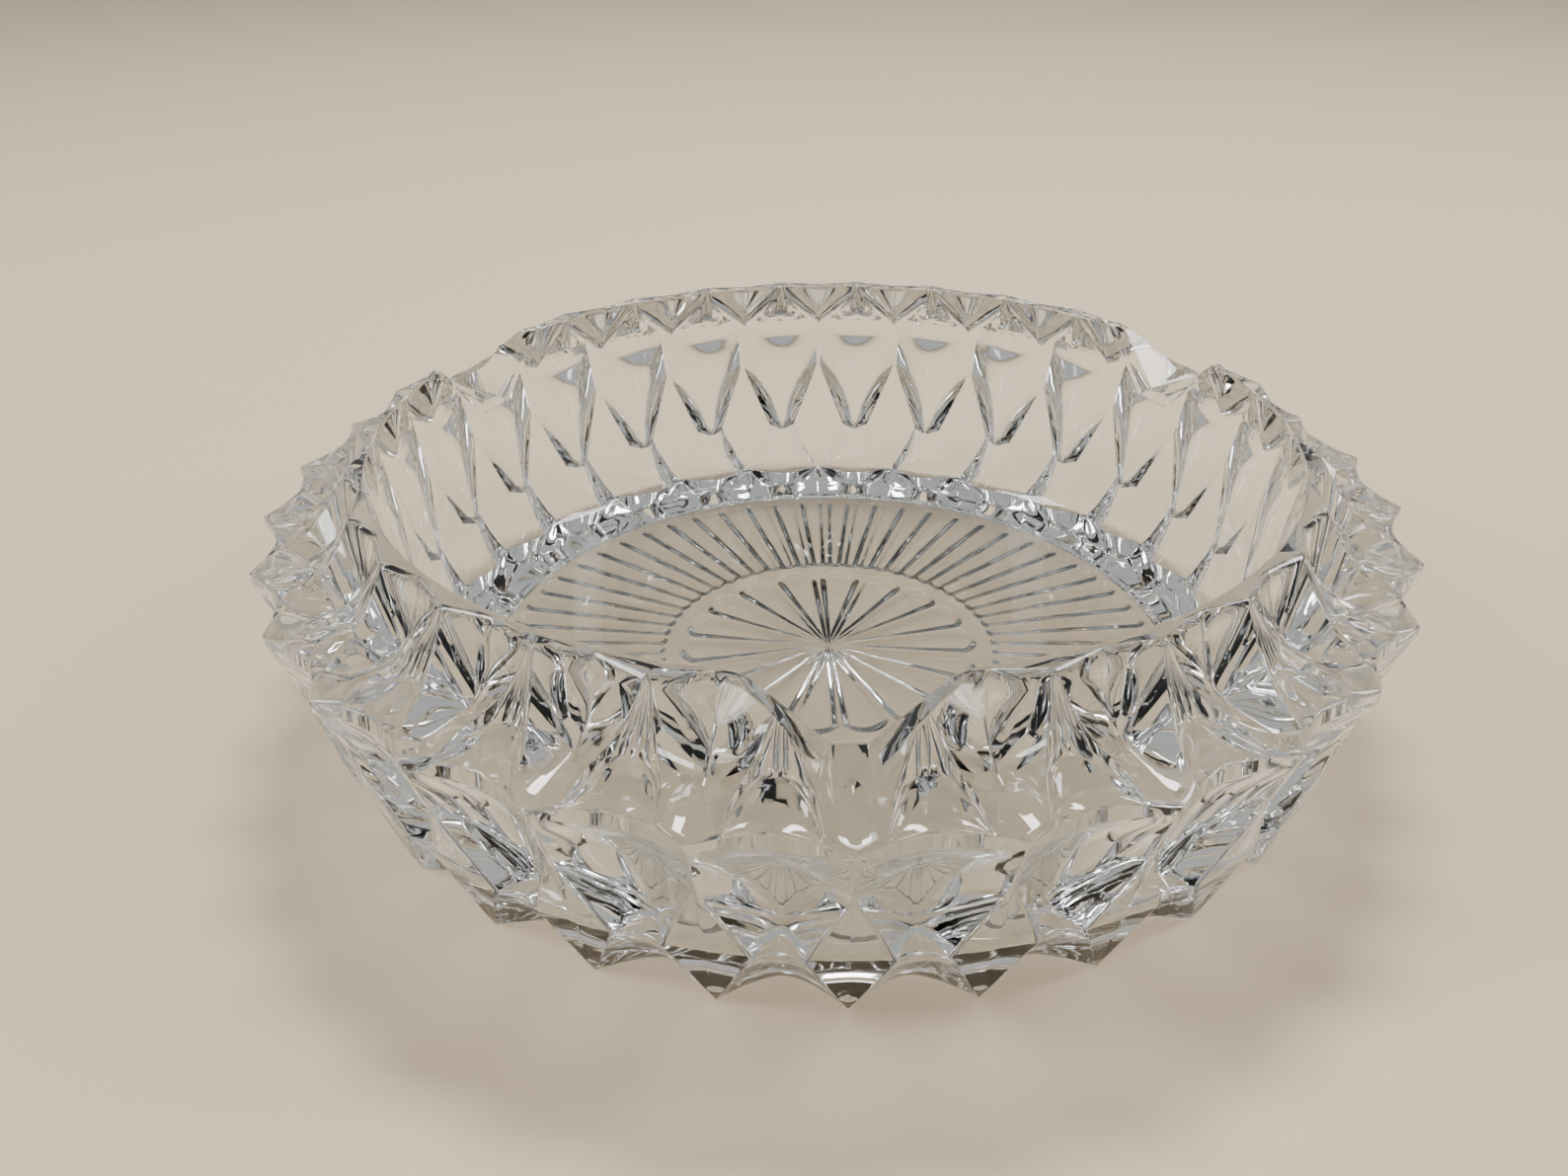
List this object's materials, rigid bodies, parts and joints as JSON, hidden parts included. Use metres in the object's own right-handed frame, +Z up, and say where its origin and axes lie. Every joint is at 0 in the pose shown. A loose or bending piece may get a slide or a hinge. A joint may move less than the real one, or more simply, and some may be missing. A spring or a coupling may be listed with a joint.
{
  "type": "glass ashtray",
  "caption": "Round, low, heavy ashtray of clear pressed glass, with a pointed faceted outside, a sunburst under the floor and notched cigarette rests in the rim.",
  "frame": {"origin": "on the upright axis of the dish, at the level of the tips of the feet", "axes": "+Z up along the dish's axis; one cigarette rest points to -Y and the other two are a third of a turn to either side"},
  "size_m": [0.179, 0.18, 0.045],
  "materials": {
    "clear_glass": "fire polished, clear"
  },
  "bodies": {
    "root": {"ashtray_body": "clear_glass"}
  },
  "joints": []
}
